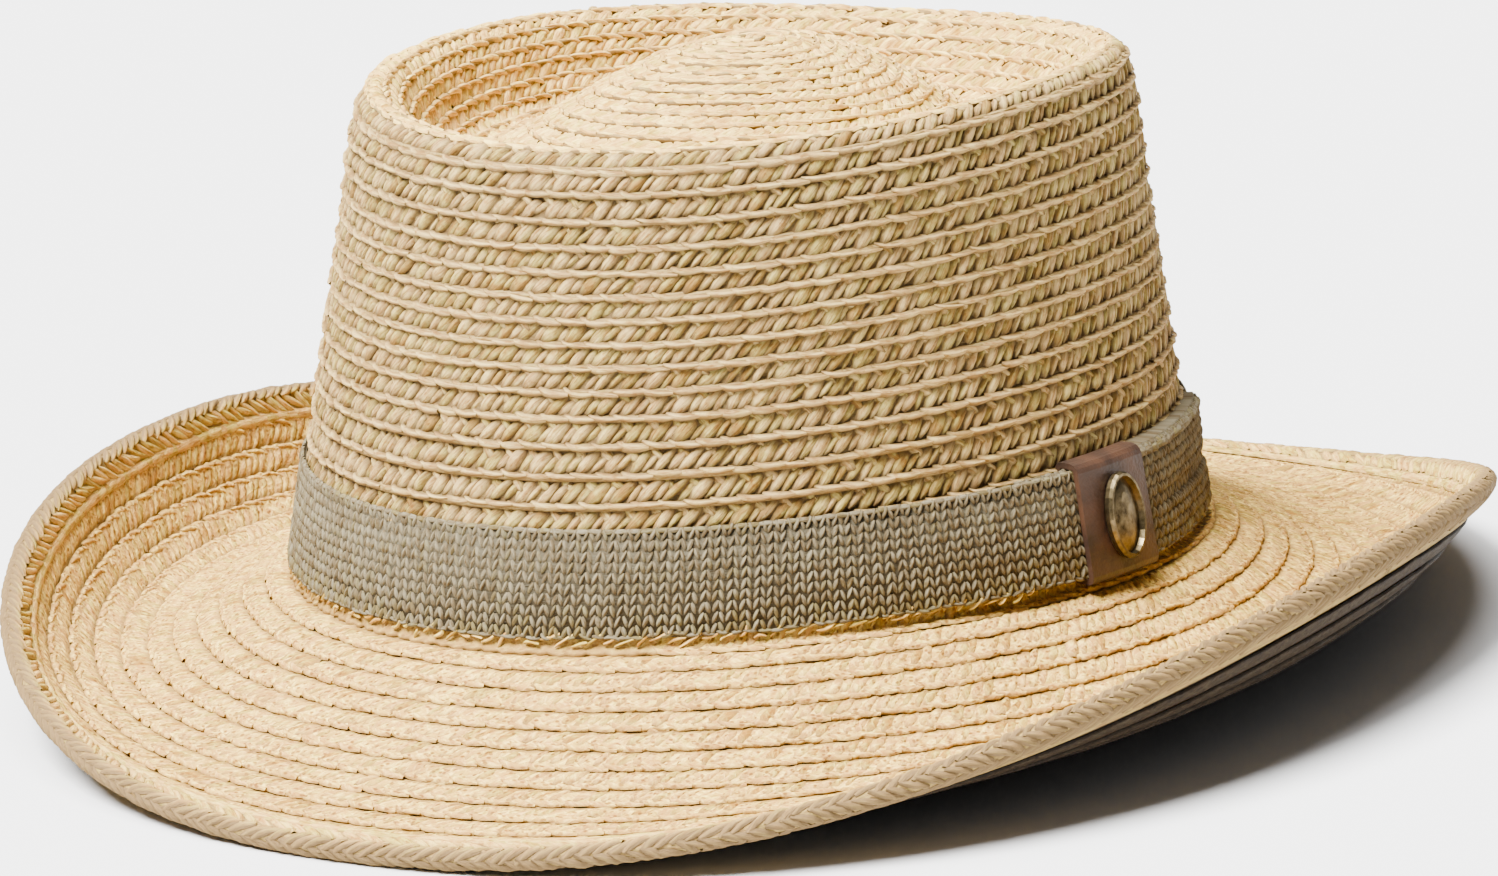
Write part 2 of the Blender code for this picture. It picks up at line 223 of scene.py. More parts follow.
def even_grid(rings, count):
    """Smooth surface through rings, with points at even distances along each meridian."""
    rings = np.asarray(rings)
    steps = np.linalg.norm(np.diff(rings, axis=0), axis=2).mean(axis=1)
    knots = np.concatenate(([0.0], np.cumsum(steps)))
    slopes = np.gradient(rings, knots, axis=0)
    dense = np.linspace(0.0, knots[-1], FINER * count)
    low = np.clip(np.searchsorted(knots, dense, side="right") - 1, 0, len(knots) - 2)
    width = (knots[low + 1] - knots[low])[:, None, None]
    t = (dense - knots[low])[:, None, None] / width
    fine = (2 * t**3 - 3 * t**2 + 1) * rings[low] + (3 * t**2 - 2 * t**3) * rings[low + 1]
    fine += width * ((t**3 - 2 * t**2 + t) * slopes[low] + (t**3 - t**2) * slopes[low + 1])
    run = np.linalg.norm(np.diff(fine, axis=0), axis=2)
    length = np.concatenate((np.zeros((1, run.shape[1])), np.cumsum(run, axis=0)))
    grid = np.empty((count, rings.shape[1], 3))
    for column in range(rings.shape[1]):
        wanted = np.linspace(0.0, length[-1, column], count)
        for axis in range(3):
            grid[:, column, axis] = np.interp(wanted, length[:, column], fine[:, column, axis])
    return grid


class Surface:
    """Smooth surface, closed round the hat: levels go along its meridians, angles round it."""

    def __init__(self, grid, facing=1.0):
        around = np.roll(grid, -1, axis=1) - np.roll(grid, 1, axis=1)
        along = np.gradient(grid, axis=0)
        normals = facing * np.cross(around, along)
        length = np.linalg.norm(normals, axis=2, keepdims=True)
        normals = np.where(length > TINY, normals / np.maximum(length, TINY), (0.0, 0.0, 1.0))
        self.grid = grid
        self.fields = np.concatenate((grid, normals), axis=2)
        self.top = grid.shape[0] - 1

    def at(self, level, angle):
        """Points and outward directions at arrays of levels (0 to top) and angles in radians."""
        level = np.clip(level, 0.0, self.top - INSIDE)
        column = (angle / TURN * self.grid.shape[1]) % self.grid.shape[1]
        row = level.astype(int)
        first = column.astype(int) % self.grid.shape[1]
        second = (first + 1) % self.grid.shape[1]
        up = (level - row)[..., None]
        right = (column - np.floor(column))[..., None]
        low = mix(self.fields[row, first], self.fields[row, second], right)
        high = mix(self.fields[row + 1, first], self.fields[row + 1, second], right)
        found = mix(low, high, up)
        normal = found[..., 3:]
        return found[..., :3], normal / np.linalg.norm(normal, axis=-1, keepdims=True)


def crown_surface():
    angles = column_angles()
    rings = [wall_point(angles, share * CROWN_HEIGHT + 0.0 * angles) for share, _ in WALL_SECTIONS]
    half_length = HEAD_LENGTH / 2 - RIM_INSET
    half_width = HEAD_WIDTH / 2 - RIM_INSET
    for along, across, drop in TIP_SECTIONS:
        height = CROWN_HEIGHT - drop * CHANNEL_DEPTH
        ring = crown_point(angles, along * half_length, across * half_width, height, along**2)
        ring[:, 1] += DOME_SETBACK * (1.0 - smooth_step(0.0, SETBACK_REACH, along))
        rings.append(ring)
    peak = (0.0, CROWN_LEAN + DOME_SETBACK, CROWN_HEIGHT - DOME_PEAK_DROP * CHANNEL_DEPTH)
    rings.append(np.tile(peak, (COLUMNS, 1)))
    wall = even_grid(rings[: CREST_RING + 1], GRID_ROWS)
    tip = even_grid(rings[CREST_RING:], GRID_ROWS)
    return Surface(np.concatenate((wall, tip[1:])))


def edge_height(angle, x):
    side = np.cos(angle) ** 2
    quarter = np.where(np.sin(angle) > 0.0, BACK_QUARTER_DROP, FRONT_QUARTER_DROP)
    drop = quarter * np.sin(2.0 * angle) ** 2
    return mix(-BRIM_DIP, BRIM_SIDE_LIFT, side) + slope(BRIM_CANT) * x - drop


def brim_surface():
    angles = column_angles()
    start = wall_point(angles, COLLAR_FOOT + 0.0 * angles)
    half = (BRIM_LENGTH / 2 - EDGE_NOSE, BRIM_WIDTH / 2 - EDGE_NOSE)
    x, y = oval(angles, *half, BRIM_POWER, BRIM_EGG)
    end = np.stack((x, y + BRIM_SETBACK, edge_height(angles, x) + STRAW_WALL / 2), axis=1)
    sag_depth = mix(END_SAG, SIDE_SAG, np.cos(angles) ** 2)
    rings = [wall_point(angles, COLLAR_HEIGHT + 0.0 * angles) + wall_outward(angles) * COLLAR_PROUD, start]
    for reach, fall, sag in BRIM_SECTIONS:
        ring = mix(start, end, reach)
        ring[:, 2] = mix(start[:, 2], end[:, 2], fall) - sag_depth * sag
        rings.append(ring)
    return Surface(even_grid(rings, GRID_ROWS), facing=-1.0)


def band_offset(turn):
    """How far the band's inner face stands off the crown wall, at angles in degrees."""
    ply = LEATHER_THICKNESS + SEAM_GAP
    layer = BAND_THICKNESS + SEAM_GAP
    reach = math.degrees(KEEPER_WIDTH / HEAD_LENGTH)
    near_keeper = 0.0
    for centre in (KEEPER_ANGLE, KEEPER_ANGLE + 360.0):
        away = np.abs(turn - centre) - reach
        near_keeper = np.maximum(near_keeper, 1.0 - smooth_step(EASE_START, EASE_END, away))
    start = BAND_INNER_END + 360.0
    doubled = smooth_step(start - DOUBLING_ARC, start - EASE_START, turn)
    tail = smooth_step(KEEPER_ANGLE + 360.0 + reach, BAND_OUTER_END, turn)
    return SEAM_GAP + ply * near_keeper + layer * doubled + TAIL_LIFT * tail


def add_object(name, data):
    item = bpy.data.objects.new(name, data)
    bpy.context.scene.collection.objects.link(item)
    return item


def put_mesh(name, points, faces, material, fields=None, slot=None, replaces=(), smooth=True):
    """Object from points in millimetres and an array of faces; fields are values at its points."""
    mesh = bpy.data.meshes.new(name)
    faces = np.asarray(faces)
    count, corners = faces.shape
    mesh.vertices.add(len(points))
    mesh.vertices.foreach_set("co", ((points + HAT_PLACE) * MM).astype(np.float32).ravel())
    mesh.loops.add(faces.size)
    mesh.loops.foreach_set("vertex_index", faces.astype(np.int32).ravel())
    mesh.polygons.add(count)
    mesh.polygons.foreach_set("loop_start", (np.arange(count) * corners).astype(np.int32))
    mesh.update(calc_edges=True)
    mesh.validate()
    for field, values in (fields or {}).items():
        kind = "FLOAT_VECTOR" if values.ndim == 2 else "FLOAT"
        item = mesh.attributes.new(field, kind, "POINT")
        item.data.foreach_set("vector" if values.ndim == 2 else "value", values.astype(np.float32).ravel())
    if smooth:
        mesh.shade_smooth()
    mesh.materials.append(material)
    piece = add_object(name, mesh)
    if slot:
        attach(piece, "root")
    if replaces:
        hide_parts(*replaces)
    return piece


def plain_fields(tone, crease, along, across):
    """Fields of a plain surface: one tone, its creases, and its grain along and across."""
    nothing = np.zeros(len(along))
    grain = np.stack((along, across, nothing), axis=1)
    return {"tone": nothing + tone, "crease": nothing + crease, "grain": grain}


def grid_faces(rows, columns, closed_columns=False, flip=False):
    """Quads of a grid of points, row by row."""
    last = columns if closed_columns else columns - 1
    row, column = np.meshgrid(np.arange(rows - 1), np.arange(last), indexing="ij")
    after = (column + 1) % columns
    low = row * columns
    high = low + columns
    quads = np.stack((low + column, low + after, high + after, high + column), axis=-1).reshape(-1, 4)
    return quads[:, ::-1] if flip else quads


class Spiral:
    """Braid sewn in a spiral over a surface: rows count from its start, turns go round the hat."""

    def __init__(self, surface, row_levels, start_angle, first_turn, last_turn):
        self.surface = surface
        self.row_levels = np.asarray(row_levels)
        self.start_angle = start_angle
        self.turns = np.arange(first_turn, last_turn, TURN_STEP)
        points, _ = surface.at(self.level(self.turns + 0.5, self.turns), self.angle(self.turns))
        self.lengths = distances(points)
        above, _ = surface.at(self.level(self.turns + 1.0, self.turns), self.angle(self.turns))
        below, _ = surface.at(self.level(self.turns, self.turns), self.angle(self.turns))
        self.pitches = np.maximum(np.linalg.norm(above - below, axis=1), LEAST_PITCH)

    def angle(self, turn):
        return self.start_angle + TURN * turn

    def level(self, row, turn):
        return np.interp(row, np.arange(len(self.row_levels)), self.row_levels)

    def place(self, along, across, proud):
        """Points at distances along the braid, across it from its middle and proud of the surface."""
        turn = np.interp(along, self.lengths, self.turns)
        pitch = np.interp(along, self.lengths, self.pitches)
        row = turn + 0.5 + across / pitch
        points, normals = self.surface.at(self.level(row, turn), self.angle(turn))
        return points + normals * np.asarray(proud)[..., None]


def bezier(first, middle, last, share):
    return (1 - share) ** 2 * first + 2 * share * (1 - share) * middle + share**2 * last


# A strand's outline: width at its ends as a share, and how its width and its height swell between them
TAPER = 0.55
SWELL_POWER = 0.7
ARCH_START = 0.08
ARCH_SPAN = 0.84
ARCH_POWER = 0.6


def strands(starts, bends, ends, half_width, thick, base, rings, points, dip):
    """Flat sheaves of strands in a braid's own coordinates.

    starts, bends and ends are (count, 2) distances along and across; base is (count, 2), how
    proud each end lies. Returns along, across, proud, the strand number and its own coordinates.
    """
    count = len(starts)
    share = np.linspace(0.0, 1.0, rings)[None, :, None]
    side = np.linspace(-1.0, 1.0, points)[None, None, :]
    path = bezier(starts[:, None, :], bends[:, None, :], ends[:, None, :], share)
    run = np.gradient(path, axis=1)
    run /= np.linalg.norm(run, axis=2, keepdims=True)
    swell = TAPER + (1.0 - TAPER) * np.sin(np.pi * share[..., 0]) ** SWELL_POWER
    width = half_width[:, None] * swell
    along = path[..., 0][..., None] - run[..., 1][..., None] * width[..., None] * side
    across = path[..., 1][..., None] + run[..., 0][..., None] * width[..., None] * side
    lens = np.sqrt(np.clip(1.0 - side**2, 0.0, 1.0))
    lift = mix(base[:, :1], base[:, 1:], share[..., 0][0])
    arch = np.sin(np.pi * (ARCH_START + ARCH_SPAN * share[..., 0])) ** ARCH_POWER
    proud = lift[..., None] + (thick[:, None] * arch)[..., None] * lens - dip * (1.0 - lens)
    length = np.linalg.norm(ends - starts, axis=1)
    number = np.broadcast_to(np.arange(count)[:, None, None], along.shape)
    grain_along = share * length[:, None, None] + 0.0 * side
    grain_across = side * half_width[:, None, None] + 0.0 * share
    return along, across, proud, number, grain_along, grain_across


def stray_path(centre, points, stray):
    """Points of strands at shifts from their middles, each strayed at random."""
    path = []
    for (shift, across), away in zip(points, np.broadcast_to(stray, len(points))):
        spot = np.stack((centre + shift, np.full(len(centre), across)), axis=1)
        path.append(spot + random.normal(0.0, away, (len(centre), 2)))
    return path


# How far one strand's noise lies from the next one's: along it in braid and in yarn, and in depth
BRAID_APART = 11.0
YARN_APART = 7.0
DEPTH_APART = 3.0


def strand_fields(item, rings, points, apart):
    """Distance from a strand's middle and along it, as shares, and the grain of its fibres."""
    side = np.abs(np.linspace(-1.0, 1.0, points))[None, None, :] + 0.0 * item[0]
    share = np.linspace(0.0, 1.0, rings)[None, :, None] + 0.0 * item[0]
    grain = np.stack((item[4] + apart * item[3], item[5], DEPTH_APART * item[3]), axis=-1)
    return side, share, grain


def sheaf_faces(count, rings, points):
    one = grid_faces(rings, points)
    return (one[None] + (np.arange(count) * rings * points)[:, None, None]).reshape(-1, 4)


class Paint:
    """Small helper that builds a procedural material node by node."""

    def __init__(self, name):
        self.material = bpy.data.materials.new(name)
        self.material.use_nodes = True
        self.tree = self.material.node_tree
        self.shader = self.tree.nodes["Principled BSDF"]

    def node(self, kind, **sockets):
        item = self.tree.nodes.new(kind)
        for name, value in sockets.items():
            self.feed(item, name.replace("_", " "), value)
        return item

    def feed(self, item, name, value):
        socket = item.inputs[int(name) if name.isdigit() else name]
        if isinstance(value, bpy.types.NodeSocket):
            self.tree.links.new(value, socket)
        else:
            socket.default_value = value

    def field(self, name):
        item = self.node("ShaderNodeAttribute")
        item.attribute_name = name
        return item

    def math(self, operation, first, second=0.0):
        item = self.node("ShaderNodeMath")
        item.operation = operation
        self.feed(item, "0", first)
        self.feed(item, "1", second)
        return item.outputs[0]

    def stretch(self, vector, scale, shift=(0.0, 0.0, 0.0)):
        item = self.node("ShaderNodeMapping", Vector=vector, Scale=scale, Location=shift)
        return item.outputs[0]

    def noise(self, vector, scale, detail=2.0, roughness=0.5):
        item = self.node("ShaderNodeTexNoise", Vector=vector, Scale=scale, Detail=detail, Roughness=roughness)
        return item.outputs["Fac"]

    def grain_noise(self, vector, stretch, shift, detail, roughness):
        return self.noise(self.stretch(vector, stretch, shift), 1.0, detail, roughness)

    def ramp(self, factor, stops):
        item = self.node("ShaderNodeValToRGB", Fac=factor)
        stops = tuple(stops)
        points = item.color_ramp.elements
        while len(points) < len(stops):
            points.new(0.5)
        for point, (place, colour) in zip(points, stops):
            point.position = place
            point.color = (*colour, 1.0)
        return item.outputs["Color"]

    def blend(self, factor, first, second, mode="MIX"):
        item = self.node("ShaderNodeMix")
        item.data_type = "RGBA"
        item.blend_type = mode
        self.feed(item, "0", factor)
        for socket, value in (("6", first), ("7", second)):
            self.feed(item, socket, value if isinstance(value, bpy.types.NodeSocket) else (*value, 1.0))
        return item.outputs[2]

    def bump(self, height, strength, distance):
        item = self.node("ShaderNodeBump", Height=height, Strength=strength, Distance=distance)
        return item.outputs["Normal"]

    def finish(self, colour, roughness, normal=None, **fixed):
        if not isinstance(colour, bpy.types.NodeSocket):
            colour = (*colour, 1.0)
        self.feed(self.shader, "Base Color", colour)
        self.feed(self.shader, "Roughness", roughness)
        if normal is not None:
            self.feed(self.shader, "Normal", normal)
        for name, value in fixed.items():
            self.shader.inputs[name.replace("_", " ")].default_value = value
        return self.material


WHITE = (1.0, 1.0, 1.0)
STREAK_BROWN = (0.42, 0.28, 0.13)
FLECK_BROWN = (0.66, 0.52, 0.34)
HOLE_BROWN = (0.30, 0.19, 0.09)

# Noises of the straw: stretch along a strand, across it and in depth, shift, detail and roughness
FIBRE_NOISE = ((0.17, 1.15, 1.0), (0.0, 0.0, 0.0), 4.0, 0.7)
CROSSED_NOISE = ((0.24, 0.85, 1.0), (0.0, 0.0, 0.0), 4.0, 0.65)
PATCH_NOISE = ((0.38, 0.45, 1.0), (9.0, 4.0, 0.0), 2.0, 0.5)
FLECK_NOISE = ((0.5, 0.85, 1.0), (2.0, 7.0, 5.0), 3.0, 0.6)
HOLE_STRETCH = (0.40, 0.55, 1.0)
CROSSED_TURNS = (math.radians(38.0), math.radians(-38.0))

# How strongly each of them colours the straw, and between which values
PATCH_STRENGTH = 1.1
STREAK_STRENGTH = 0.7
FLECK_STRENGTH = 0.75
HOLE_STRENGTH = 0.8
FIBRE_SPAN = (0.41, 0.56)
CROSSED_SPAN = (0.50, 0.655)
FLECK_SPAN = (0.56, 0.66)
HOLE_SPAN = (0.12, 0.24)


def straw(name, light, dark, tint, crossed=False, gloss=0.75):
    """Dry raffia: long fibres along each strand, strands of several tones, painted shade in the creases."""
    paint = Paint(name)
    grain = paint.field("grain").outputs["Vector"]
    tone = paint.field("tone").outputs["Fac"]
    crease = paint.field("crease").outputs["Fac"]
    if crossed:
        turned = []
        for turn in CROSSED_TURNS:
            item = paint.node("ShaderNodeMapping", Vector=grain, Rotation=(0.0, 0.0, turn))
            turned.append(paint.grain_noise(item.outputs[0], *CROSSED_NOISE))
        fibre = paint.math("MAXIMUM", *turned)
    else:
        fibre = paint.grain_noise(grain, *FIBRE_NOISE)
    patch = paint.grain_noise(grain, *PATCH_NOISE)
    mixed = paint.math("MULTIPLY_ADD", paint.math("SUBTRACT", patch, 0.5), PATCH_STRENGTH)
    paint.tree.links.new(tone, mixed.node.inputs[2])
    base = paint.ramp(mixed, ((0.0, light), (0.25, tint[0]), (0.5, light), (0.75, tint[1]), (1.0, tint[2])))
    streak = paint.ramp(fibre, zip(CROSSED_SPAN if crossed else FIBRE_SPAN, (STREAK_BROWN, WHITE)))
    colour = paint.blend(STREAK_STRENGTH, base, streak, "MULTIPLY")
    fleck = paint.grain_noise(grain, *FLECK_NOISE)
    specks = paint.ramp(fleck, zip(FLECK_SPAN, (WHITE, FLECK_BROWN)))
    colour = paint.blend(FLECK_STRENGTH, colour, specks, "MULTIPLY")
    if crossed:
        holes = paint.node("ShaderNodeTexVoronoi", Vector=paint.stretch(grain, HOLE_STRETCH), Scale=1.0)
        holes.voronoi_dimensions = "2D"
        dots = paint.ramp(holes.outputs["Distance"], zip(HOLE_SPAN, (HOLE_BROWN, WHITE)))
        colour = paint.blend(HOLE_STRENGTH, colour, dots, "MULTIPLY")
    # Painted shade: the crease field mixes the dark colour in
    colour = paint.blend(crease, colour, dark)
    normal = paint.bump(fibre, strength=0.8, distance=0.0009)
    return paint.finish(colour, gloss, normal, Specular_IOR_Level=0.16)


# Straw and yarn: light colour, the painted shade of the creases, and three tints between
CREAM = (0.90, 0.64, 0.155)
PINK_TAN = (0.68, 0.40, 0.12)
GREEN_TAN = (0.56, 0.43, 0.08)
ORANGE_TAN = (0.48, 0.26, 0.04)
CREVICE = (0.085, 0.048, 0.016)
# Dark of the brim: its brown stitch line, and painted shade in the creases and at the steps between rows
LINE_AND_SHADE_BROWN = (0.24, 0.135, 0.036)
# Near-black straw of the underside and inside: painted shade
SHADE = (0.042, 0.029, 0.014)
SHADE_TINT = ((0.05, 0.033, 0.016), (0.05, 0.038, 0.017), (0.035, 0.022, 0.010))
CROWN_TINT = ((0.46, 0.30, 0.115), (0.41, 0.32, 0.085), (0.31, 0.18, 0.04))
STRAW_CROWN = straw("raffia_crown", (0.53, 0.38, 0.135), CREVICE, CROWN_TINT)
STRAW_TINT = (PINK_TAN, GREEN_TAN, ORANGE_TAN)
# Tip straw, lighter than the crown side's and with light creases: painted light on the top of the crown
STRAW_TIP = straw("raffia_tip", (0.95, 0.70, 0.20), (0.66, 0.42, 0.12), STRAW_TINT)
STRAW_BRIM = straw("raffia_brim", CREAM, LINE_AND_SHADE_BROWN, STRAW_TINT, crossed=True)
STRAW_EDGE = straw("raffia_edge", (0.74, 0.52, 0.14), (0.17, 0.105, 0.042), STRAW_TINT)
# Underside and inside straw: painted shade
STRAW_SHADE = straw("raffia_shade", SHADE, (0.012, 0.008, 0.005), SHADE_TINT, crossed=True)
KNIT_TINT = ((0.17, 0.140, 0.082), (0.175, 0.150, 0.075), (0.16, 0.126, 0.048))
KNIT = straw("knit_yarn", (0.185, 0.157, 0.095), (0.024, 0.019, 0.010), KNIT_TINT, gloss=0.8)

# Heights of the crown rows' lower edges at the spiral's start, in millimetres
ROW_LINES = (15.5, 21.4, 27.2, 33.0, 39.0, 44.5, 49.7, 54.5, 58.9, 63.5, 68.2, 72.8, 77.7, 82.6, 88.0, 93.0)
TIP_PITCH = 4.2
ROWS_OVER = 1.4
SPIRAL_START = math.radians(-68.0)
STITCH = 5.1


def crown_spiral(surface):
    """The crown's one spiral of rows, from under the band to the middle of the dome."""
    levels = np.arange(surface.top + 1.0)
    line, _ = surface.at(levels, np.full(len(levels), SPIRAL_START))
    wall = slice(0, GRID_ROWS)
    marks = [wall_point(SPIRAL_START, height)[2] for height in ROW_LINES]
    low = [np.interp(mark, line[wall, 2], levels[wall]) for mark in marks]
    length = distances(line)
    reached = np.interp(low[-1], levels, length)
    more = round((length[-1] - reached) / TIP_PITCH)
    further = np.interp(np.linspace(reached, length[-1], more + 1)[1:], length, levels)
    return Spiral(surface, np.concatenate((low, further)), SPIRAL_START, 0.0, len(low) + more - ROWS_OVER)


# One stitch of the plait: start, bend and end along and across the row, half width, thickness,
# how proud its two ends lie, how much the ends may stray, rings, points across, tucked or lip
CROWN_PLAIT = (
    ((-2.7, 3.0), (-1.6, 2.2), (0.0, 0.7), 1.05, 0.50, (-0.95, -0.40), 0.20, 4, 4, True),
    ((4.6, 2.5), (2.8, 0.9), (0.9, -1.5), 1.00, 0.65, (-0.95, -0.50), 0.24, 5, 4, True),
    ((2.2, 2.7), (0.2, 1.0), (-1.8, -1.7), 1.50, 0.85, (-0.95, -0.35), 0.26, 5, 5, True),
    ((-3.3, -1.5), (-1.7, -2.65), (3.3, -2.25), 0.76, 0.85, (-0.25, 0.22), 0.16, 6, 4, False),
)
TIP_PLAIT = (
    ((-2.6, 2.0), (-1.5, 1.4), (0.0, 0.4), 1.05, 0.35, (-0.60, -0.35), 0.18, 4, 4, True),
    ((4.4, 1.8), (2.7, 0.5), (0.9, -1.1), 1.00, 0.45, (-0.60, -0.40), 0.20, 4, 4, True),
    ((2.1, 1.9), (0.2, 0.6), (-1.6, -1.2), 1.40, 0.55, (-0.60, -0.35), 0.22, 5, 5, True),
    ((-3.1, -0.7), (-2.0, -1.85), (2.9, -1.75), 0.60, 0.55, (-0.15, 0.05), 0.12, 6, 4, False),
)
BRIM_PLAIT = (
    ((-2.4, 1.9), (-1.3, -0.5), (1.2, -2.7), 1.32, 0.36, (-0.14, -0.14), 0.3, 4, 5, True),
    ((0.3, 1.9), (1.2, -0.6), (3.8, -2.7), 1.28, 0.34, (-0.14, -0.14), 0.3, 4, 5, True),
    ((-2.9, 1.1), (-1.2, 2.5), (3.2, 2.5), 0.72, 0.34, (-0.1, -0.02), 0.13, 5, 4, False),
)

# How the strands vary, as shares of their sizes, and how far each one lies from its place
BRAID_DIP = 0.15
BRAID_SPREAD = 0.14
LARGEST_SPREAD = 0.4
BRAID_UNEVEN = 0.10

# Painted shade in the creases: how dark a strand's sides and ends are, and the shares of its length where
# they start and end
SIDE_CREASE = 0.9
TUCK_CREASE = 0.95
TUCK_START = (0.42, 0.10)
TUCK_END = (0.70, 1.0)
LIP_CREASE = 0.6
LIP_START = (0.18, 0.0)
TUCKED_TONE = 1.0
LIP_TONE = 0.4


def braid_strands(spiral, first, last, plait):
    """Plaited strands between two distances along the spiral, one set of the plait a stitch."""
    centre = np.arange(first, last, STITCH)
    count = len(centre)
    kinds = []
    for start, bend, end, width, thick, base, stray, rings, points, tucked in plait:
        path = stray_path(centre, (start, bend, end), stray)
        widths, thicks = (
            size * (1.0 + random.normal(0.0, BRAID_SPREAD, count).clip(-LARGEST_SPREAD, LARGEST_SPREAD))
            for size in (width, thick)
        )
        kinds.append((path, widths, thicks, base, rings, points, tucked))
    groups = []
    for path, width, thick, base, rings, points, tucked in kinds:
        base = np.tile(base, (count, 1)) + random.normal(0.0, BRAID_UNEVEN, (count, 1))
        item = strands(*path, width, thick, base, rings, points, BRAID_DIP)
        tone = random.uniform(0.0, TUCKED_TONE if tucked else LIP_TONE, count)[item[3]]
        side, share, grain = strand_fields(item, rings, points, BRAID_APART)
        # Painted shade on the strand's sides, on its tucked ends under the row above and at the start of each
        # lip
        crease = SIDE_CREASE * side**5
        if tucked:
            crease = np.maximum(crease, TUCK_CREASE * smooth_step(*TUCK_END, share))
            crease = np.maximum(crease, TUCK_CREASE * smooth_step(*TUCK_START, share))
        else:
            crease = np.maximum(crease, LIP_CREASE * smooth_step(*LIP_START, share))
        groups.append((*item[:3], tone, crease, grain, rings, points))
    return groups


def lay(name, place, groups, material, slot, replaces=()):
    """One mesh of all groups of strands, placed on their surface."""
    points, faces, tones, creases, grains = [], [], [], [], []
    offset = 0
    for along, across, proud, tone, crease, grain, rings, columns in groups:
        placed = place(along.ravel(), across.ravel(), proud.ravel())
        points.append(placed)
        faces.append(sheaf_faces(len(along), rings, columns) + offset)
        tones.append(tone.ravel())
        creases.append(crease.ravel())
        grains.append(grain.reshape(-1, 3))
        offset += len(placed)
    fields = {
        "tone": np.concatenate(tones),
        "crease": np.concatenate(creases),
        "grain": np.concatenate(grains),
    }
    return put_mesh(name, np.concatenate(points), np.concatenate(faces), material, fields, slot, replaces)


# Waves of a flat row in millimetres: length and depth of its scallops, of its wander and of its ribs
SCALLOP_LENGTH = 3.7
SCALLOP_DEPTH = 0.34
WANDER_LENGTH = 11.3
WANDER_DEPTH = 0.18
RIB_LENGTH = 3.1
RIB_DEPTH = 0.07
RIB_SLANT = 1.3
EDGE_STRAY = 0.05
FACE_STRAY = 0.03
UNDER_BAND_SHADE = 0.6
RIB_START = 0.05
ROW_TONE = 0.45

# Dark dots along a row's lip: how dark, where they start as a share of its width, and how they drift
DOT_SHADE = 0.55
DOT_START = 0.88
DOT_DRIFT = 0.8
DOT_DRIFT_LENGTH = 7.0


def row_strip(name, spiral, profile, step, material, slot, scallop, replaces=(), flip=True):
    """Rows of flat braid as one winding strip, each row's outer lip proud of the next row."""
    along = np.arange(0.0, spiral.lengths[-1], step)
    share, proud, crease = (np.array(column)[:, None] for column in zip(*profile))
    pitch = np.interp(along, spiral.lengths, spiral.pitches)
    wave = SCALLOP_DEPTH * np.sin(along * TURN / SCALLOP_LENGTH)
    wave = wave + WANDER_DEPTH * np.sin(along * TURN / WANDER_LENGTH)
    wave = wave + random.normal(0.0, EDGE_STRAY, len(along))
    across = (share - 0.5) * pitch + scallop * wave * share**3
    height = proud + 0.0 * across
    height += RIB_DEPTH * np.sin((along + RIB_SLANT * across) * TURN / RIB_LENGTH) * (share > RIB_START)
    height += random.normal(0.0, FACE_STRAY, height.shape)
    rows = len(profile)
    placed = spiral.place(np.tile(along, rows), across.ravel(), height.ravel())
    drift = DOT_DRIFT * np.sin(along / DOT_DRIFT_LENGTH)
    dot = np.clip(np.cos(along * TURN / SCALLOP_LENGTH + drift), 0.0, 1.0) ** 5
    # Painted shade: the profile's dark, and more on the rows hidden under the band; the dots are the stitches
    hidden = np.interp(along, spiral.lengths, spiral.turns) < 0.0
    darkness = crease + DOT_SHADE * (share > DOT_START) * dot + UNDER_BAND_SHADE * hidden
    fields = plain_fields(ROW_TONE, darkness.clip(0.0, 1.0).ravel(), np.tile(along, rows), across.ravel())
    faces = grid_faces(rows, len(along), flip=flip)
    return put_mesh(name, placed, faces, material, fields, slot, replaces)


# Sections of a row: place across it as a share of its width, how proud, how dark; the dark is painted shade
# under the lips and at the steps between rows, on the brim also its brown stitch line
RIDGE_PROFILE = (
    (-0.05, -1.00, 1.0),
    (-0.04, -0.20, 0.7),
    (0.03, 0.12, 0.4),
    (0.10, 0.22, 0.3),
    (0.17, 0.05, 0.5),
    (0.24, -0.70, 0.9),
    (0.60, -0.80, 0.7),
    (1.00, -1.05, 0.9),
)
ROW_PROFILE = (
    (0.00, -0.45, 1.0),
    (0.12, -0.38, 0.72),
    (0.21, -0.15, 0.10),
    (0.35, 0.02, 0.0),
    (0.56, 0.12, 0.0),
    (0.76, 0.20, 0.0),
    (0.91, 0.24, 0.08),
    (0.98, 0.10, 0.30),
    (0.97, -0.55, 1.0),
)
RIDGE_STEP = 2.1
ROW_STEP = 1.3
UNDERSIDE_STEP = 3.2
INSIDE_STEP = 3.8
PLAIN_SCALLOP = 0.6

# Crown: rows of the spiral at which the side's braid starts and gives way to the tip's
FIRST_TURN = 0.15
CREST_TURN = 15.6
DOME_END = 6.0

crown = crown_surface()
brim = brim_surface()
crown_rows = crown_spiral(crown)
CREST_LENGTH = np.interp(CREST_TURN, crown_rows.turns, crown_rows.lengths)
FIRST_LENGTH = np.interp(FIRST_TURN, crown_rows.turns, crown_rows.lengths)
side_braid = braid_strands(crown_rows, FIRST_LENGTH, CREST_LENGTH, CROWN_PLAIT)
lay("crown_side_braid", crown_rows.place, side_braid, STRAW_CROWN, "straw_crown", ("crown",))
tip_braid = braid_strands(crown_rows, CREST_LENGTH, crown_rows.lengths[-1] - DOME_END, TIP_PLAIT)
lay("crown_tip_braid", crown_rows.place, tip_braid, STRAW_TIP, "straw_crown")
row_strip("crown_rows", crown_rows, RIDGE_PROFILE, RIDGE_STEP, STRAW_CROWN, "straw_crown", 0.0, flip=False)

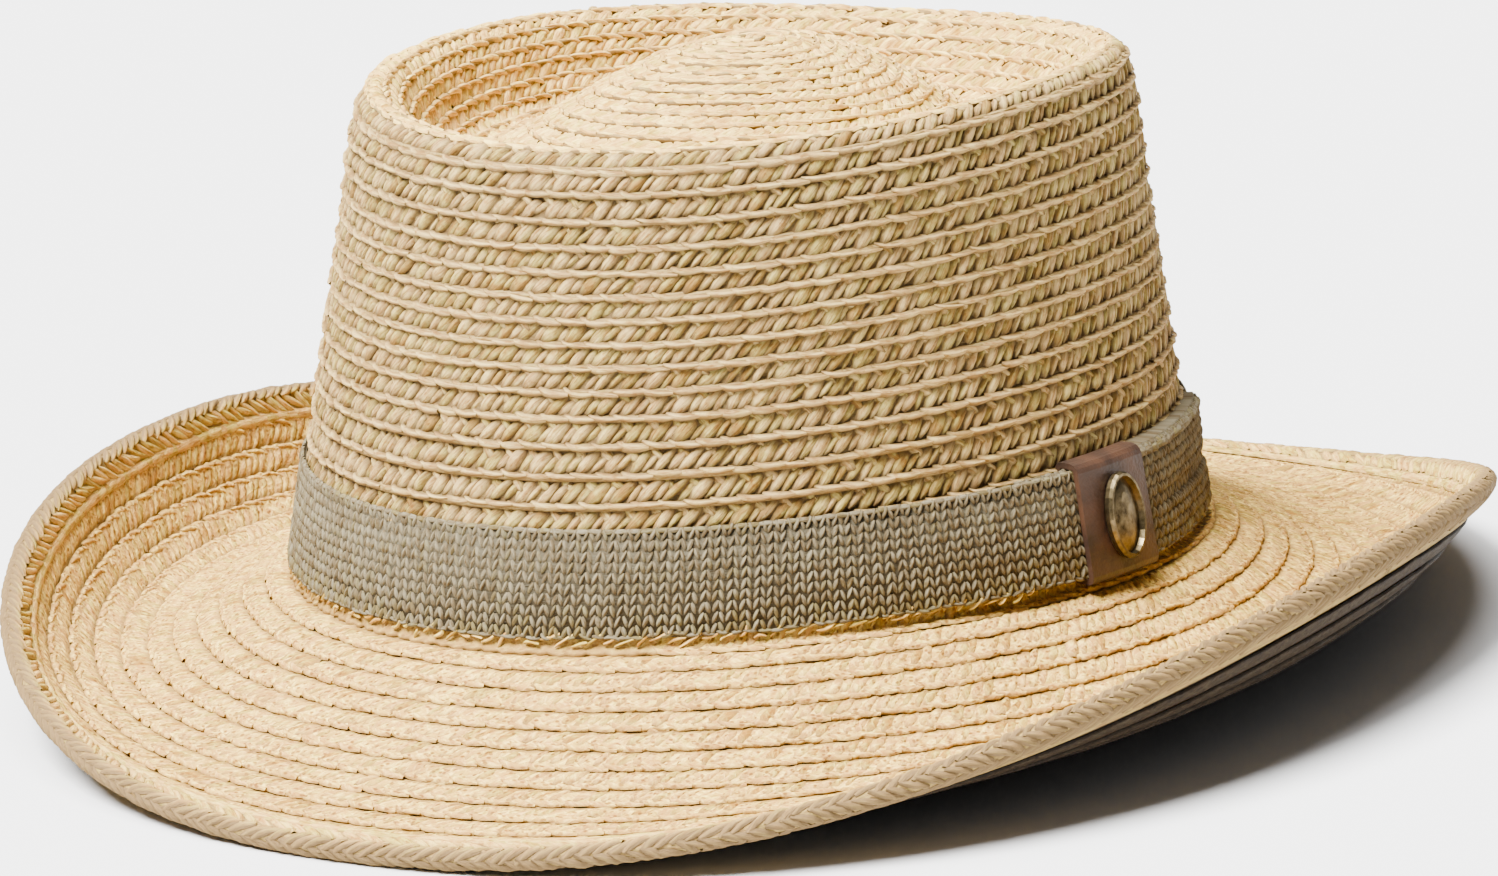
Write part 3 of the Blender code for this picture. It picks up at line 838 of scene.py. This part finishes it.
# Brim: its rows, counted from the head line, and one row more under the band
BRIM_ROWS = 12.5
BRIM_LINES = 15
ROWS_UNDER_EDGE = 0.6
LAST_ROW = BRIM_ROWS - ROWS_UNDER_EDGE
brim_levels = np.arange(BRIM_LINES) * brim.top / BRIM_ROWS
brim_rows = Spiral(brim, brim_levels, SPIRAL_START, -1.0, LAST_ROW)
row_strip("brim_rows", brim_rows, ROW_PROFILE, ROW_STEP, STRAW_BRIM, "straw_brim", 1.0, ("brim",))


def brim_place(along, across, proud):
    """Points on the brim's rows, proud of the rows' own slant."""
    pitch = np.interp(along, brim_rows.lengths, brim_rows.pitches)
    shares, heights, _ = zip(*ROW_PROFILE[:-1])
    return brim_rows.place(along, across, proud + np.interp(across / pitch + 0.5, shares, heights))


BRIM_START = np.interp(0.0, brim_rows.turns, brim_rows.lengths)
brim_braid = braid_strands(brim_rows, BRIM_START, brim_rows.lengths[-1], BRIM_PLAIT)
lay("brim_plait", brim_place, brim_braid, STRAW_BRIM, "straw_brim")

# Plain layer under the brim's rows
BACKING_DEPTH = 0.9
BACKING_ROWS = 40
BACKING_COLUMNS = 180
BACKING_SHADE = 0.75
BACKING_TONE = 0.5
GRAIN_TURN = 90.0


def make_brim_backing():
    levels = np.linspace(0.0, brim.top, BACKING_ROWS)
    angles = np.arange(BACKING_COLUMNS) * TURN / BACKING_COLUMNS
    level, angle = np.meshgrid(levels, angles, indexing="ij")
    points, normals = brim.at(level.ravel(), angle.ravel())
    fields = plain_fields(BACKING_TONE, BACKING_SHADE, angle.ravel() * GRAIN_TURN, level.ravel())
    faces = grid_faces(BACKING_ROWS, BACKING_COLUMNS, closed_columns=True, flip=True)
    put_mesh("brim_backing", points - normals * BACKING_DEPTH, faces, STRAW_BRIM, fields, "straw_brim")


make_brim_backing()


def other_side(surface, facing):
    """The far side of a straw wall."""
    points = surface.fields[..., :3] - surface.fields[..., 3:] * STRAW_WALL
    return Surface(points, facing)


def plain_rows(name, surface, rows, first_turn, last_turn, step, slot):
    """The hat's inside or underside: flat rows with no plait, coloured near-black as painted shade."""
    spiral = Spiral(surface, rows.row_levels, SPIRAL_START, first_turn, last_turn)
    row_strip(name, spiral, ROW_PROFILE[1:], step, STRAW_SHADE, slot, PLAIN_SCALLOP, flip=False)


plain_rows("brim_underside", other_side(brim, 1.0), brim_rows, -1.0, LAST_ROW, UNDERSIDE_STEP, "straw_brim")
crown_inner = other_side(crown, -1.0)
plain_rows("crown_inside", crown_inner, crown_rows, 0.0, crown_rows.turns[-1], INSIDE_STEP, "straw_crown")

# Knit band: columns of V stitches on a thin strip
KNIT_COLUMN = 2.6
KNIT_COURSE = 2.1
KNIT_COURSES = 10
KNIT_RAISE = 0.5
YARN_DIP = 0.1
STRIP_SHARE = 0.6
STRIP_STEP = 1.6

# Fold along the tail: height as a share of the band's, width as a share, depth, and the turns where it starts
FOLD_SHARE = 0.46
FOLD_SPREAD = 0.07
FOLD_DEPTH = 0.9
FOLD_TURNS = (359.0, 367.0)

# Roll along the tail's top, which is lower and darker round the front
ROLL_GAP = 0.3
ROLL_TURNS = (357.0, 353.0)
ROLL_DROP = 1.2
ROLL_SHADE = 0.35

# Strip's section: height as a share of the band's, how proud, how dark (painted shade between the stitches);
# its last point is at the crown wall
STRIP_SECTION = (
    (0.0, -0.7, 0.8),
    (0.0, 0.0, 0.8),
    (0.5, 0.02, 0.8),
    (0.99, 0.0, 0.5),
    (1.02, -0.4, 0.2),
    (1.02, -1.0, 0.3),
)
AT_WALL = -0.9

# One leg of a stitch: start, bend and end from the column's middle and the course's height
LEG_POINTS = ((0.25, -0.45), (0.58, 0.68), (1.15, 1.88))
LEG_WIDTH = 0.59
LEG_THICKNESS = 0.70
LEG_STRAY = 0.10
LEG_WIDTH_SPREAD = 0.10
LEG_THICKNESS_SPREAD = 0.12
LEG_BASE = (-0.25, -0.05)
LEG_GRID = (5, 4)
LEG_TONE = 0.7
# Painted shade on each leg's sides and on its tucked end
LEG_SIDE_CREASE = 0.6
LEG_END_CREASE = 0.5
LEG_TUCK = (0.3, 0.0)

# Darker courses at the band's lower edge: how many, how much they vary and how dark
LOW_COURSES = 3.0
LOW_SPREAD = 1.5
LOW_TONE = 0.5

# Hems at the top, at the bottom and round the tail: first turn, height, stray, reach, half width, thickness
HEMS = (
    (None, BAND_HEIGHT - 0.35, 0.10, 0.95, 0.55, 0.5),
    (None, 0.3, 0.28, 0.8, 0.5, 0.5),
    (358.0, BAND_HEIGHT - 1.1, 0.15, 1.1, 1.2, 1.1),
)
HEM_OVERLAP = 1.6
HEM_BASE = (0.0, -0.1)
HEM_GRID = (6, 5)
# Light painted shade over the hems
HEM_CREASE = 0.1
BAND_END_GAP = 1.0


def band_place(along, height, proud):
    """Points on the band's outer face: distance along it, height on the wall, proud of its strip."""
    turn = np.interp(along, band_lengths, band_turns)
    angle = np.radians(turn)
    out = wall_outward(angle)
    middle = np.exp(-(((height - BAND_RAISE) / BAND_HEIGHT - FOLD_SHARE) / FOLD_SPREAD) ** 2)
    fold = FOLD_DEPTH * smooth_step(*FOLD_TURNS, turn) * middle
    depth = band_offset(turn) + STRIP_SHARE * BAND_THICKNESS + proud - fold
    return wall_point(angle, height) + out * depth[..., None]


BAND_STEPS = 1600
band_turns = np.linspace(BAND_INNER_END, BAND_OUTER_END, BAND_STEPS)
band_middle = np.radians(band_turns)
band_line = wall_point(band_middle, BAND_RAISE + BAND_HEIGHT / 2 + 0.0 * band_turns)
band_line = band_line + wall_outward(band_middle) * band_offset(band_turns)[:, None]
band_lengths = distances(band_line)
BAND_LENGTH = band_lengths[-1]


def make_strip():
    along = np.arange(0.0, BAND_LENGTH, STRIP_STEP)
    heights, depths, creases = (np.array(column)[:, None] for column in zip(*STRIP_SECTION))
    height = BAND_RAISE + heights * BAND_HEIGHT + 0.0 * along
    turn = np.interp(along, band_lengths, band_turns)
    to_wall = ROLL_GAP - STRIP_SHARE * BAND_THICKNESS - band_offset(turn)
    depth = np.where(depths < AT_WALL, to_wall, depths)
    front = (heights > 1.0) * smooth_step(*ROLL_TURNS, turn)
    height = height - ROLL_DROP * front
    creases = creases + ROLL_SHADE * front
    rows = len(STRIP_SECTION)
    placed = band_place(np.tile(along, rows), height.ravel(), depth.ravel())
    fields = plain_fields(0.0, (creases + 0.0 * along).ravel(), np.tile(along, rows), height.ravel())
    faces = grid_faces(rows, len(along), flip=True)
    return put_mesh("band_strip", placed, faces, KNIT, fields, "knit", ("hat_band",))


def knit_legs(side):
    """One leg of every stitch: -1 for the left one, 1 for the right."""
    columns = np.arange(KNIT_COLUMN / 2, BAND_LENGTH - 0.5, KNIT_COLUMN)
    column, course = np.meshgrid(columns, np.arange(KNIT_COURSES), indexing="ij")
    count = column.size
    x = column.ravel() + random.normal(0.0, LEG_STRAY, count)
    y = BAND_RAISE + KNIT_RAISE + course.ravel() * KNIT_COURSE + random.normal(0.0, LEG_STRAY, count)
    path = [np.stack((x + side * across, y + up), axis=1) for across, up in LEG_POINTS]
    width = LEG_WIDTH * (1.0 + random.normal(0.0, LEG_WIDTH_SPREAD, count))
    thick = LEG_THICKNESS * (1.0 + random.normal(0.0, LEG_THICKNESS_SPREAD, count))
    item = strands(*path, width, thick, np.tile(LEG_BASE, (count, 1)), *LEG_GRID, YARN_DIP)
    low = smooth_step(LOW_COURSES, 0.0, course.ravel() + LOW_SPREAD * random.random(count))
    tone = (random.uniform(0.0, LEG_TONE, count) + LOW_TONE * low)[item[3]]
    across, share, grain = strand_fields(item, *LEG_GRID, YARN_APART)
    # Painted shade on the legs' sides and tucked ends
    crease = np.maximum(LEG_SIDE_CREASE * across**4, LEG_END_CREASE * smooth_step(*LEG_TUCK, share))
    return (*item[:3], tone, crease, grain, *LEG_GRID)


def knit_hem(first_turn, height, stray, reach, wide, thick):
    """A row of long stitches that closes an edge of the band."""
    first = BAND_END_GAP if first_turn is None else np.interp(first_turn, band_turns, band_lengths)
    x = np.arange(first, BAND_LENGTH - BAND_END_GAP, KNIT_COLUMN)
    count = len(x)
    spots = [(side * reach * HEM_OVERLAP, BAND_RAISE + height) for side in (-1.0, 0.0, 1.0)]
    path = stray_path(x, spots, stray)
    base = np.tile(HEM_BASE, (count, 1))
    item = strands(*path, np.full(count, wide), np.full(count, thick), base, *HEM_GRID, YARN_DIP)
    grain = strand_fields(item, *HEM_GRID, YARN_APART)[2]
    tone = random.uniform(0.0, 1.0, count)[item[3]]
    return (*item[:3], tone, HEM_CREASE + 0.0 * tone, grain, *HEM_GRID)


band_strip = make_strip()
knit = [knit_legs(side) for side in (-1.0, 1.0)] + [knit_hem(*hem) for hem in HEMS]
band_stitches = lay("band_stitches", band_place, knit, KNIT, "knit")

# Loose straws against the band's lower edge: shift along it, height and stray of each one's three points
STRAW_POINTS = ((-1.6, -0.9, 0.6), (0.0, -0.5, 0.5), (1.4, 0.3, 0.6))
STRAW_TURNS = (60.0, 336.0)
STRAW_SPACING = 3.1
STRAW_BASE = (-0.3, 0.1)
STRAW_HALF_WIDTHS = (0.3, 0.5)
STRAW_THICKNESS = 0.35
# Painted shade on the loose straws' sides
STRAW_CREASE = 0.4
STRAW_GRID = (6, 4)


def make_fringe():
    first, last = np.interp(STRAW_TURNS, band_turns, band_lengths)
    centre = np.arange(first, last, STRAW_SPACING)
    count = len(centre)
    spots = [(shift, BAND_RAISE + height) for shift, height, _ in STRAW_POINTS]
    path = stray_path(centre, spots, [stray for *_, stray in STRAW_POINTS])
    base = np.tile(STRAW_BASE, (count, 1))
    width = random.uniform(*STRAW_HALF_WIDTHS, count)
    item = strands(*path, width, np.full(count, STRAW_THICKNESS), base, *STRAW_GRID, YARN_DIP)
    tone = random.uniform(0.0, 1.0, count)[item[3]]
    side, _, grain = strand_fields(item, *STRAW_GRID, YARN_APART)
    group = (*item[:3], tone, STRAW_CREASE * side**3, grain, *STRAW_GRID)
    lay("band_fringe", band_place, [group], STRAW_EDGE, "straw_edge")


make_fringe()

# Edge braid folded over the brim's cut edge: its section runs from the top inside to the bottom inside
EDGE_LEG = EDGE_WIDTH - EDGE_NOSE
EDGE_PITCH = 2.9
EDGE_ARC_POINTS = 25
FLAT_SHARE = 0.72
EDGE_STEPS = 2881
ANGLE_STEP = 0.01


def edge_section():
    """Lengths round the section, its points out and up from the edge, and its outward direction."""
    nose = np.radians(np.linspace(90.0, -90.0, EDGE_ARC_POINTS))
    out = np.concatenate(([-EDGE_LEG], EDGE_NOSE * np.cos(nose), [-EDGE_LEG]))
    up = np.concatenate(([FLAT_SHARE], np.sin(nose), [-FLAT_SHARE])) * EDGE_THICKNESS / 2
    length = np.concatenate(([0.0], np.cumsum(np.hypot(np.diff(out), np.diff(up)))))
    return length, out, up, -np.gradient(up, length), np.gradient(out, length)


EDGE_LINE = edge_section()
EDGE_ROUND = EDGE_LINE[0][-1]
EDGE_MIDDLE = EDGE_ROUND / 2
edge_angles = np.linspace(0.0, TURN, EDGE_STEPS)
edge_points, _ = brim.at(np.full(EDGE_STEPS, float(brim.top)), edge_angles)
edge_lengths = distances(edge_points)


def edge_place(along, across, proud):
    """Points at distances round the hat's edge and round its folded braid's section."""
    angle = np.interp(along % edge_lengths[-1], edge_lengths, edge_angles)
    level = np.full(len(angle), float(brim.top))
    centre, upward = brim.at(level, angle)
    after, _ = brim.at(level, angle + ANGLE_STEP)
    outward = np.cross(after - centre, upward)
    outward /= np.linalg.norm(outward, axis=1, keepdims=True)
    length, *columns = EDGE_LINE
    out, up, normal_out, normal_up = (np.interp(across, length, column)[:, None] for column in columns)
    middle = centre - upward * STRAW_WALL / 2 + outward * out + upward * up
    return middle + (outward * normal_out + upward * normal_up) * proud[:, None]


# Layer under the edge's strands
EDGE_COLUMNS = 300
EDGE_ROWS = 22
EDGE_BACKING_DEPTH = -0.65
EDGE_BACKING_SHADE = 0.7


def make_edge_backing():
    along = np.linspace(0.0, edge_lengths[-1], EDGE_COLUMNS + 1)[:-1]
    across = np.repeat(np.linspace(0.0, EDGE_ROUND, EDGE_ROWS), EDGE_COLUMNS)
    along = np.tile(along, EDGE_ROWS)
    placed = edge_place(along, across, np.full(len(along), EDGE_BACKING_DEPTH))
    fields = plain_fields(BACKING_TONE, EDGE_BACKING_SHADE, along, across)
    faces = grid_faces(EDGE_ROWS, EDGE_COLUMNS, closed_columns=True, flip=True)
    put_mesh("edge_backing", placed, faces, STRAW_EDGE, fields, "straw_edge", ("edge_braid",))


# Strands of the edge: start, bend and end along and round it, stray, half width, thickness, points across
EDGE_STRANDS = (
    ((-4.5, 1.2), (0.0, 1.35), (4.5, 1.2), 0.1, 1.4, 0.35, 5),
    ((-3.0, 2.6), (0.3, 3.9), (3.0, EDGE_MIDDLE - 3.4), 0.42, 0.98, 0.55, 4),
    ((2.9, EDGE_MIDDLE - 4.2), (0.2, EDGE_MIDDLE - 2.9), (-2.7, EDGE_MIDDLE - 0.3), 0.42, 0.98, 0.6, 4),
    ((-3.0, EDGE_MIDDLE - 0.6), (0.1, EDGE_MIDDLE + 0.9), (2.7, EDGE_MIDDLE + 3.4), 0.42, 0.98, 0.6, 4),
    ((2.8, EDGE_MIDDLE + 3.1), (0.2, EDGE_MIDDLE + 4.7), (-2.7, EDGE_MIDDLE + 7.0), 0.42, 0.98, 0.5, 4),
)
EDGE_RINGS = 5
EDGE_BASE = -0.45
EDGE_DIP = 0.1
EDGE_WIDTH_SPREAD = 0.1
EDGE_THICKNESS_SPREAD = 0.12
EDGE_TONE = 0.85
# Painted shade on the edge strands' sides and on their tucked ends
EDGE_SIDE_CREASE = 0.5
EDGE_END_CREASE = 0.2
EDGE_TUCK = (0.25, 0.0)

# Shade under the edge: how dark, and the places round its section where it starts and is full
EDGE_SHADE = 0.90
EDGE_SHADE_START = EDGE_MIDDLE - 5.4
EDGE_SHADE_END = EDGE_MIDDLE - 1.4


def make_edge_strands():
    centre = np.arange(0.0, edge_lengths[-1], EDGE_PITCH)
    count = len(centre)
    kinds = []
    for start, bend, end, stray, wide, thick, points in EDGE_STRANDS:
        kinds.append((stray_path(centre, (start, bend, end), stray), wide, thick, points))
    groups = []
    for path, wide, thick, points in kinds:
        width = wide * (1.0 + random.normal(0.0, EDGE_WIDTH_SPREAD, count))
        depth = thick * (1.0 + random.normal(0.0, EDGE_THICKNESS_SPREAD, count))
        base = np.full((count, 2), EDGE_BASE)
        item = strands(*path, width, depth, base, EDGE_RINGS, points, EDGE_DIP)
        tone = random.uniform(0.0, EDGE_TONE, count)[item[3]]
        side, share, grain = strand_fields(item, EDGE_RINGS, points, YARN_APART)
        below = smooth_step(EDGE_SHADE_START, EDGE_SHADE_END, item[1])
        ends = EDGE_END_CREASE * smooth_step(*EDGE_TUCK, share)
        crease = EDGE_SIDE_CREASE * side**4 + ends + EDGE_SHADE * below
        groups.append((*item[:3], tone, crease, grain, EDGE_RINGS, points))
    lay("edge_braid_strands", edge_place, groups, STRAW_EDGE, "straw_edge")


make_edge_backing()
make_edge_strands()

# Leather and brass, on the nodes of the part
LEATHER_DARK = (0.018, 0.008, 0.004)
LEATHER_LIGHT = (0.060, 0.025, 0.0105)
BRASS_DARK = (0.035, 0.026, 0.012)
BRASS_LIGHT = (0.20, 0.15, 0.075)
PORE_SCALE = 1400.0
PORE_DEPTH = 0.6
CLOUD_SCALE = 160.0
WEAR_SCALE = 420.0
BRASS_ROUGHNESS = 0.5
BRASS_POLISH = -0.3
LEATHER_ROUGHNESS = 0.52


def make_leather():
    paint = Paint("brown_leather")
    place = paint.node("ShaderNodeTexCoord").outputs["Object"]
    grain = paint.node("ShaderNodeTexVoronoi", Vector=place, Scale=PORE_SCALE)
    cloud = paint.noise(place, CLOUD_SCALE, detail=4.0)
    colour = paint.ramp(cloud, ((0.3, LEATHER_DARK), (0.7, LEATHER_LIGHT)))
    pores = paint.math("MULTIPLY_ADD", grain.outputs["Distance"], PORE_DEPTH)
    paint.tree.links.new(cloud, pores.node.inputs[2])
    normal = paint.bump(pores, strength=0.35, distance=0.0003)
    return paint.finish(colour, LEATHER_ROUGHNESS, normal, Specular_IOR_Level=0.4)


def make_brass():
    paint = Paint("antique_brass")
    place = paint.node("ShaderNodeTexCoord").outputs["Object"]
    wear = paint.noise(place, WEAR_SCALE, detail=5.0, roughness=0.6)
    colour = paint.ramp(wear, ((0.32, BRASS_DARK), (0.66, BRASS_LIGHT)))
    rough = paint.math("MULTIPLY_ADD", wear, BRASS_POLISH)
    rough.node.inputs[2].default_value = BRASS_ROUGHNESS
    normal = paint.bump(wear, strength=0.15, distance=0.0002)
    return paint.finish(colour, rough, normal, Metallic=1.0)


for node, finish in (("leather_keeper", make_leather()), ("ornament", make_brass())):
    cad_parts[node].data.materials[0] = finish

# Camera and light
VIEW_AZIMUTH = math.radians(27.1)
VIEW_ELEVATION = math.radians(14.3)
VIEW_ROLL = math.radians(-1.86)
VIEW_PLACE = (0.69173, -1.35145, 0.42943)
VIEW_LENS = 183.36
SKY_STRENGTH = 0.16
KEY_FROM = (-0.25, -0.434, 0.9)
KEY_SPREAD = 30.0
KEY_STRENGTH = 21.0
TOP_FROM = (-0.15, 0.05, 1.0)
TOP_SPREAD = 40.0
TOP_STRENGTH = 5.5

FLOOR_REACH = 6.0
FLOOR_GREY = (0.66, 0.66, 0.66)
FLOOR_ROUGHNESS = 0.9


def set_camera():
    flat = math.cos(VIEW_ELEVATION)
    away = Vector((math.sin(VIEW_AZIMUTH) * flat, -math.cos(VIEW_AZIMUTH) * flat, math.sin(VIEW_ELEVATION)))
    level = Vector((math.cos(VIEW_AZIMUTH), math.sin(VIEW_AZIMUTH), 0.0))
    over = away.cross(level)
    right = level * math.cos(VIEW_ROLL) + over * math.sin(VIEW_ROLL)
    up = over * math.cos(VIEW_ROLL) - level * math.sin(VIEW_ROLL)
    lens = bpy.data.cameras.new("photo_view")
    lens.lens = VIEW_LENS
    lens.clip_end = 50.0
    view = add_object("photo_view", lens)
    view.matrix_world = Matrix.Translation(VIEW_PLACE) @ Matrix((right, up, away)).transposed().to_4x4()
    bpy.context.scene.camera = view


def set_floor():
    corners = [(x * FLOOR_REACH, y * FLOOR_REACH, 0.0) for x, y in ((-1, -1), (1, -1), (1, 1), (-1, 1))]
    mesh = bpy.data.meshes.new("floor")
    mesh.from_pydata(corners, [], [(0, 1, 2, 3)])
    mesh.materials.append(Paint("floor").finish(FLOOR_GREY, FLOOR_ROUGHNESS))
    floor = add_object("floor", mesh)


def set_light(name, origin, spread, strength):
    lamp = bpy.data.lights.new(name, "SUN")
    lamp.angle = math.radians(spread)
    lamp.energy = strength
    item = add_object(name, lamp)
    item.rotation_euler = Vector(origin).to_track_quat("Z", "Y").to_euler()


def set_sky():
    world = bpy.data.worlds.new("studio")
    world.use_nodes = True
    background = world.node_tree.nodes["Background"]
    background.inputs["Color"].default_value = (1.0, 1.0, 1.0, 1.0)
    background.inputs["Strength"].default_value = SKY_STRENGTH
    bpy.context.scene.world = world


set_camera()
set_floor()
set_sky()
set_light("key_light", KEY_FROM, KEY_SPREAD, KEY_STRENGTH)
set_light("top_light", TOP_FROM, TOP_SPREAD, TOP_STRENGTH)
